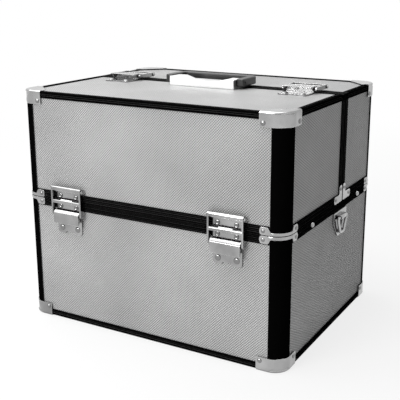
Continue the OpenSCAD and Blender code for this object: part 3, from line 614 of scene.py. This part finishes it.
def catch_plate(net):
    """The plate on the catch side and the roll that holds the strap's pin."""
    pin_up, pin_out = STRAP_PIN
    half, roll = 18.0, STRAP_HALF - 2.4
    top = pin_up - 2.1
    prism(net, rounded([(-half, 0.8), (half, 0.8), (half, top), (-half, top)], 0.6), 0, 1.5)
    prism(net, [(-half, CHANNEL_W + 0.3), (half, CHANNEL_W + 0.3), (half, top), (-half, top)],
          -BOARD_OUT, 0.4)
    rod(net, -roll, roll, pin_up, pin_out, 1.5)
    bent_sheet(net, [(top - 0.5, 0.8), (top - 0.5, pin_out)], 1.0, -roll, roll)


front_latches = [wall("front", side * FRONT_LATCH_X, BELT) for side in (-1, 1)]
top_latches = [wall("top", side * TOP_LATCH_X, SPLIT) for side in (-1, 1)]
for index, side_name in enumerate(("left", "right")):
    make_piece(f"front_latch_strap_{side_name}", [(latch_strap, [front_latches[index]])],
               "bright_metal", f"front_strap_{side_name}", [f"front_strap_{side_name}"])
    make_piece(f"front_latch_lever_{side_name}", [(latch_lever, [front_latches[index]])],
               "bright_metal", f"front_lever_{side_name}", [f"front_lever_{side_name}"])
    make_piece(f"top_latch_lever_{side_name}", [(latch_lever, [top_latches[index]])],
               "bright_metal", f"top_lever_{side_name}", [f"top_lever_{side_name}"])
make_piece("top_latch_straps", [(latch_strap, top_latches)], "bright_metal", "top_straps",
           ["top_straps"])
make_piece("front_latch_bases", [(latch_plate, front_latches)], "bright_metal", "base",
           ["front_latch_plates"])
make_piece("front_latch_catches", [(catch_plate, front_latches)], "bright_metal", "front_lid",
           ["front_catch_plates"])
make_piece("top_latch_bases", [(latch_plate, top_latches)], "bright_metal", "front_lid",
           ["top_latch_plates"])
make_piece("top_latch_catches", [(catch_plate, top_latches)], "bright_metal", "rear_lid",
           ["top_catch_plates"])
make_piece("front_strap_pin_wires", [(strap_pin, front_latches)], "pin_steel", "front_lid",
           ["front_strap_pins"], edge=0)
make_piece("top_strap_pin_wires", [(strap_pin, top_latches)], "pin_steel", "rear_lid",
           ["top_strap_pins"], edge=0)
make_piece("front_lever_pin_wires", [(lever_pin, front_latches)], "pin_steel", "base",
           ["front_lever_pins"], edge=0)
make_piece("top_lever_pin_wires", [(lever_pin, top_latches)], "pin_steel", "front_lid",
           ["top_lever_pins"], edge=0)


# ------------------------------------------------------------------ caps and brackets

ARC_HALF = CORNER_R * math.pi / 4
CAP_FLANGE = 14.0
CAP_H = 17.0
CAP_T = 1.2
CAP_SHEET = 0.7
PRESSED = 0.8            # how deep a cap's middle is pressed in
ELBOW_FOOT = 27.0
ELBOW_LEG = 21.0


def round_corner(s, out):
    """The point s along the corner from its middle, this far out of the posts' faces."""
    if abs(s) <= ARC_HALF:
        angle = math.pi / 4 * (1 + s / ARC_HALF)
        reach = CORNER_R + out
        return (CORNER_R - reach * math.sin(angle), CORNER_R - reach * math.cos(angle))
    beyond = CORNER_R + abs(s) - ARC_HALF
    return (-out, beyond) if s > 0 else (beyond, -out)


def smooth_step(value, low, high):
    x = min(max((value - low) / (high - low), 0.0), 1.0)
    return x * x * (3 - 2 * x)


def pressed_centre(s, drop):
    """How deep the cap is pressed in between the curved inner ends of its two flanges."""
    if abs(s) >= 20:
        return 0.0
    beside = (abs(s) - 5.0 - 15.0) / 15.0
    above = (CAP_H - 2.5 - drop) / 12.5
    inside = smooth_step(math.hypot(beside, above), 1.0, 1.12)
    return PRESSED * inside * smooth_step(drop, 1.8, 2.6)


def corner_cap(net):
    """A pressed cap: a flat plate, a rounded rim and a skirt with a hollow at the corner."""
    reach = ARC_HALF + CAP_FLANGE
    stations = [reach * (k / 36 - 1) for k in range(73)]
    rim_r = 2.0
    flange_end = CORNER_R + CAP_FLANGE
    outer, inner = [], []
    for s in stations:
        share = (s + reach) / (2 * reach)
        ends = Vector((flange_end, 9.0)), Vector((9.0, flange_end))
        bulge = Vector((20.5, 20.5))
        edge = (ends[0] * (1 - share) ** 2 + bulge * 2 * share * (1 - share)
                + ends[1] * share ** 2)
        rim = Vector(round_corner(s, CAP_T - rim_r))
        row_out, row_in = [], []
        for k in range(4):
            point = edge.lerp(rim, k / 4)
            row_out.append((point.x, point.y, -CAP_T + (0.3 if k == 0 else 0.0)))
            row_in.append((point.x, point.y, -CAP_T + CAP_SHEET))
        for k in range(6):
            angle = math.pi / 2 * k / 5
            fall = rim_r * (1 - math.cos(angle))
            row_out.append((*round_corner(s, CAP_T - rim_r + rim_r * math.sin(angle)),
                            -CAP_T + fall))
            bend = rim_r - CAP_SHEET
            row_in.append((*round_corner(s, CAP_T - rim_r + bend * math.sin(angle)),
                           -CAP_T + CAP_SHEET + bend * (1 - math.cos(angle))))
        for k in range(1, 17):
            drop = rim_r + (CAP_H - rim_r) * k / 16
            sunk = pressed_centre(s, drop)
            lip = 0.25 if k == 16 else 0.0
            row_out.append((*round_corner(s, CAP_T - sunk - lip), drop - CAP_T))
            row_in.append((*round_corner(s, CAP_T - CAP_SHEET - sunk), drop - CAP_T))
        outer.append(row_out)
        inner.append(row_in)
    shell(net, outer, inner)


def belt_bracket(net):
    """A strip round the post beside the seam, with a taller rounded flange at each end."""
    flange, strip, tall, gap = 12.0, 3.5, 9.0, 0.3
    reach = ARC_HALF + flange
    stations = [reach * (k / 40 - 1) for k in range(81)]
    outer, inner = [], []
    for s in stations:
        height = strip + (tall - strip) * smooth_step(abs(s), ARC_HALF - 2, ARC_HALF + 2.5)
        from_end = reach - abs(s)
        round_end = 2.6 - math.sqrt(max(2.6 ** 2 - max(2.6 - from_end, 0) ** 2, 0))
        low, high = gap + round_end * 0.8, gap + height - round_end
        row_out, row_in = [], []
        for k in range(7):
            crown = 1.0 - 0.45 * abs(k / 3 - 1) ** 4
            point = low + (high - low) * k / 6
            row_out.append((*round_corner(s, crown), point))
            row_in.append((*round_corner(s, 0.05), point))
        outer.append(row_out)
        inner.append(row_in)
    shell(net, outer, inner)


def post_corners(height, down, rows=(-1, 1)):
    return [corner(x, y, height, down) for x in (-1, 1) for y in rows]


def split_elbow(net):
    """A bright angle with round ends, on the lid's lower corner at the split."""
    wide, inset, foot, leg = CHANNEL_W - 0.8, 1.2, ELBOW_FOOT, ELBOW_LEG
    outline = [(inset, 0, 1.2), (foot, 0, 3.5), (foot, wide, 3.5), (wide, wide, 1.5),
               (wide, leg, 3.5), (inset, leg, 3.5)]
    prism(net, rounded(outline, 1), 0, 1.1)


def elbow_places(front):
    """The elbow's corner on both sides, with its first leg running away from the split."""
    side_y = -1 if front else 1
    edge = SPLIT + side_y * (SEAM / 2 + 0.3)
    height = BELT + SEAM / 2 + 0.3
    places = []
    for side_x in (-1, 1):
        columns = Matrix(((0, side_y, 0), (0, 0, 1), (side_x, 0, 0))).transposed().to_4x4()
        places.append(Matrix.Scale(MM, 4) @ Matrix.Translation((side_x * HALF_W, edge, height))
                      @ columns)
    return places


make_piece("lower_caps", [(corner_cap, post_corners(BOTTOM, 1))], "bright_metal", "base",
           ["base_caps"], edge=0)
make_piece("front_lid_corner_caps", [(corner_cap, post_corners(TOP, -1, (-1,)))], "bright_metal",
           "front_lid", ["front_lid_caps"], edge=0)
make_piece("rear_lid_corner_caps", [(corner_cap, post_corners(TOP, -1, (1,)))], "bright_metal",
           "rear_lid", ["rear_lid_caps"], edge=0)
make_piece("lower_belt_brackets", [(belt_bracket, post_corners(BELT - SEAM / 2, -1))],
           "bright_metal", "base", ["base_brackets"], edge=0)
make_piece("front_lid_belt_brackets",
           [(belt_bracket, post_corners(BELT + SEAM / 2, 1, (-1,))),
            (split_elbow, elbow_places(True))], "bright_metal", "front_lid",
           ["front_lid_brackets"], edge=0.15)
make_piece("rear_lid_belt_brackets",
           [(belt_bracket, post_corners(BELT + SEAM / 2, 1, (1,))),
            (split_elbow, elbow_places(False))], "bright_metal", "rear_lid",
           ["rear_lid_brackets"], edge=0.15)


# ------------------------------------------------------------------ rivets

# Distances in millimetres, from the seam or from the case's top or bottom
PLATE_ROW = 6.7
TAIL_ROW = -35.5
CAP_ROW = 11.5
BRACKET_ROW = 4.9


def cap_rivet(net):
    dome(net, (0, 0, CAP_T), RIVET_R, 1.6)


def bracket_rivet(net):
    dome(net, (0, 0, 0.95), RIVET_R * 0.85, 1.2)


def tail_rivet(net):
    dome(net, (0, 0, 0.75), RIVET_R * 1.35, 1.6)


def elbow_rivet(net):
    eyelet(net, (0, 0, 1.05), RIVET_R * 0.8)


def plate_rivet(net):
    eyelet(net, (0, 0, 1.5), RIVET_R * 1.1)


def around_corners(height, along, ends=(-1, 1)):
    """Places on both faces beside the posts at these ends of the case."""
    places = []
    for end in ends:
        face = "front" if end < 0 else "rear"
        places += [wall(face, side * (HALF_W - along), height) for side in (-1, 1)]
        places += [wall("right", end * (HALF_D - along), height),
                   wall("left", end * (HALF_D - along), height)]
    return places


def on_plates(places, rows, across=12.1):
    """Places of a pair of rivets on each plate, for each distance from the seam."""
    return [place @ Matrix.Translation((side * across, row, 0))
            for place in places for row in rows for side in (-1, 1)]


CAP_ALONG = CORNER_R + CAP_FLANGE - 4.6
BRACKET_ALONG = CORNER_R + 12.0 - 4.4
hanger_y = sum(v.y for v in mm_box("hanger_plates")) / 2
hangers = [wall("right", hanger_y, BELT), wall("left", hanger_y, BELT)]
rear_hinge_x = 110.0
rear_hinges = [wall("rear", side * rear_hinge_x, BELT) for side in (-1, 1)]
hinge_rows = ((-12.5, 11.7), (12.5, 11.7), (0, 19.5))


def hinge_rivets(direction):
    return [place @ Matrix.Translation((across, direction * row, 0))
            for place in rear_hinges for across, row in hinge_rows]


def hanger_rivet(net):
    dome(net, (0, 0, 0.9), 2.1, 0.8)


def elbow_rivets(front):
    mid, inset = CHANNEL_W / 2, 5.0
    return [place @ Matrix.Translation((across, up, 0)) for place in elbow_places(front)
            for across, up in ((ELBOW_FOOT - inset, mid), (mid, ELBOW_LEG - inset))]


screws_low, screws_high = mm_box("arm_screws")
CAD_SCREW_R = 4.0
ARM_T = 2.5
SCREW_IN = HALF_W - mm_box("tray_arms_front")[1].x + ARM_T + 1.5


def arm_screw(net):
    """A domed screw through the wall, its shank and the washer inside the tray arm."""
    crown = [(3.3 * math.cos(math.pi / 2 * k / 6), SCREW_IN + 2.3 * math.sin(math.pi / 2 * k / 6))
             for k in range(6)]
    spun(net, (0, 0, -SCREW_IN), [(0, 0), (3.5, 0), (3.5, 1.2), (2.0, 1.2), (2.0, SCREW_IN)]
         + crown + [(0, SCREW_IN + 2.3)])


screw_height = (screws_low.z + screws_high.z) / 2
make_piece("tray_arm_screws",
           [(arm_screw, [wall(side, along, screw_height) for side in ("right", "left")
                         for along in (screws_low.y + CAD_SCREW_R, screws_high.y - CAD_SCREW_R)])],
           "bright_metal", "base", ["arm_screws"], edge=0)
make_piece("lower_rivets",
           [(cap_rivet, around_corners(BOTTOM + CAP_ROW, CAP_ALONG)),
            (bracket_rivet, around_corners(BELT - SEAM / 2 - BRACKET_ROW, BRACKET_ALONG)),
            (plate_rivet, on_plates(front_latches, (-PLATE_ROW,))),
            (tail_rivet, on_plates(front_latches, (TAIL_ROW,))),
            (plate_rivet, hinge_rivets(-1)),
            (hanger_rivet, [place @ Matrix.Translation((side * 6.3, -38.3, 0))
                            for place in hangers for side in (-1, 1)])],
           "bright_metal", "base", ["base_rivets"], edge=0, finish="rivet_steel")
make_piece("front_lid_rivet_heads",
           [(cap_rivet, around_corners(TOP - CAP_ROW, CAP_ALONG, (-1,))),
            (bracket_rivet, around_corners(BELT + SEAM / 2 + BRACKET_ROW, BRACKET_ALONG, (-1,))),
            (elbow_rivet, elbow_rivets(True)),
            (plate_rivet, on_plates(front_latches, (PLATE_ROW,))),
            (plate_rivet, on_plates(top_latches, (-PLATE_ROW,))),
            (tail_rivet, on_plates(top_latches, (TAIL_ROW,)))],
           "bright_metal", "front_lid", ["front_lid_rivets"], edge=0, finish="rivet_steel")
make_piece("rear_lid_rivet_heads",
           [(cap_rivet, around_corners(TOP - CAP_ROW, CAP_ALONG, (1,))),
            (bracket_rivet, around_corners(BELT + SEAM / 2 + BRACKET_ROW, BRACKET_ALONG, (1,))),
            (elbow_rivet, elbow_rivets(False)),
            (plate_rivet, on_plates(top_latches, (PLATE_ROW,))),
            (plate_rivet, hinge_rivets(1))],
           "bright_metal", "rear_lid", ["rear_lid_rivets"], edge=0, finish="rivet_steel")


# ------------------------------------------------------------------ handle and rings

handle_low, handle_high = mm_box("handle_grip")


def grip(net):
    """A thick U-shaped grip: squared arms beside the cover and a round-cornered bar."""
    half, inside = handle_high.x, handle_high.x - 10.0
    front, back, bar = handle_low.y, handle_high.y, 11.0
    outline = [(-half, front, 1.5), (-inside, front, 1.5), (-inside, back - bar, 4.5),
               (inside, back - bar, 4.5), (inside, front, 1.5), (half, front, 1.5),
               (half, back, 12.0), (-half, back, 12.0)]
    prism(net, rounded(outline, 2, steps=8), handle_low.z, handle_high.z)


make_piece("carrying_grip", [(grip, [Matrix.Scale(MM, 4)])], "grip_plastic", "handle_grip",
           ["handle_grip"], edge=2.2).modifiers["eased_edges"].segments = 4

ring_low, ring_high = mm_box("ring_right")


def hanger_ring(net):
    """A wire ring: a straight bar in the roll and two legs that draw together to a foot."""
    wire = 1.9
    bar = ring_high.z - wire - BELT
    foot = ring_low.z + wire - BELT
    wide = (ring_high.y - ring_low.y) / 2 - wire
    out = (ring_low.x + ring_high.x) / 2 - HALF_W
    outline = rounded([(-wide, bar, 2.5), (-6.0, foot, 4.5), (6.0, foot, 4.5), (wide, bar, 2.5)],
                      3, steps=6)
    tube(net, [(p.x, p.y, out) for p in outline], wire)


make_piece("right_hanger_ring", [(hanger_ring, [hangers[0]])], "bright_metal", "ring_right",
           ["ring_right"], edge=0)
make_piece("left_hanger_ring", [(hanger_ring, [hangers[1]])], "bright_metal", "ring_left",
           ["ring_left"], edge=0)


# ------------------------------------------------------------------ studio

FLOOR_HALF = 30.0
FLOOR_PAINT = 0.75
FILL = 0.06              # the world's share of the light on the case


def seen_directly(tree, light):
    """1 for rays from the camera, from a mirror finish or through glass."""
    return math_node(tree, "MAXIMUM", light.outputs["Is Camera Ray"],
                     math_node(tree, "MAXIMUM", light.outputs["Is Glossy Ray"],
                               light.outputs["Is Transmission Ray"]))


def studio_floor():
    """A wide pale floor that runs white to the horizon and keeps the case's shadow."""
    mesh = bpy.data.meshes.new("studio_floor")
    net = bmesh.new()
    bmesh.ops.create_grid(net, x_segments=8, y_segments=8, size=FLOOR_HALF)
    net.to_mesh(mesh)
    net.free()
    floor = bpy.data.objects.new("studio_floor", mesh)
    scene.collection.objects.link(floor)
    floor.location.z = cad_low.z - 0.0002
    material = bpy.data.materials.new("studio_white")
    material.use_nodes = True
    tree = material.node_tree
    tree.nodes.clear()
    light = tree.nodes.new("ShaderNodeLightPath")
    seen = seen_directly(tree, light)
    paint = add_node(tree, "ShaderNodeBsdfDiffuse", Color=grey(FLOOR_PAINT))
    place = tree.nodes.new("ShaderNodeTexCoord")
    glow = add_node(tree, "ShaderNodeEmission", Color=grey(1.0), Strength=1.0)
    away = add_node(tree, "ShaderNodeVectorMath", {"operation": "LENGTH"},
                    _0=place.outputs["Object"]).outputs["Value"]
    nearness = math_node(tree, "MAXIMUM", light.outputs["Is Glossy Ray"],
                         ramp_node(tree, away, 0.5, 1.6, 0.8, 1.0))
    share = math_node(tree, "MULTIPLY", seen, nearness)
    mixed = add_node(tree, "ShaderNodeMixShader", _0=share, _1=paint.outputs[0],
                     _2=glow.outputs[0])
    target = tree.nodes.new("ShaderNodeOutputMaterial")
    tree.links.new(mixed.outputs[0], target.inputs["Surface"])
    mesh.materials.append(material)


def studio_world():
    """White where it is seen, and a soft even fill where it lights."""
    world = bpy.data.worlds.new("studio_world")
    scene.world = world
    world.use_nodes = True
    tree = world.node_tree
    tree.nodes.clear()
    light = tree.nodes.new("ShaderNodeLightPath")
    seen = seen_directly(tree, light)
    fill = add_node(tree, "ShaderNodeBackground", Color=grey(FILL), Strength=1.0)
    white = add_node(tree, "ShaderNodeBackground", Color=grey(1.0), Strength=1.0)
    mixed = add_node(tree, "ShaderNodeMixShader", _0=seen, _1=fill.outputs[0],
                     _2=white.outputs[0])
    target = tree.nodes.new("ShaderNodeOutputWorld")
    tree.links.new(mixed.outputs[0], target.inputs["Surface"])


def soft_lamp(name, place, target, size, power):
    lamp = bpy.data.lights.new(name, "AREA")
    lamp.shape = "RECTANGLE"
    lamp.size, lamp.size_y = size
    lamp.energy = power
    holder = bpy.data.objects.new(name, lamp)
    scene.collection.objects.link(holder)
    holder.location = place
    holder.rotation_mode = "QUATERNION"
    holder.rotation_quaternion = (Vector(target) - Vector(place)).to_track_quat("-Z", "Y")


def studio_camera():
    """The camera, a little above the case and to the right of its front."""
    lens = bpy.data.cameras.new("studio_camera")
    camera = bpy.data.objects.new("studio_camera", lens)
    scene.collection.objects.link(camera)
    scene.camera = camera
    camera.location = (0.504, -0.870, 0.436)
    camera.rotation_euler = (math.radians(90 - 14.4), 0.0, math.radians(29.2))
    lens.lens = 775 / 400 * 36
    lens.sensor_width = 36
    lens.shift_x = -16 / 400
    lens.shift_y = -24 / 400
    lens.clip_start = 0.05


studio_floor()
studio_world()
studio_camera()
soft_lamp("key_lamp", (-0.6, -1.9, 1.0), (0.05, 0, 0.12), (1.0, 0.8), 29)
soft_lamp("top_lamp", (-0.9, -0.1, 2.2), (-0.3, -0.1, 0.2), (2.8, 3.0), 95)

scene.view_settings.view_transform = "Standard"
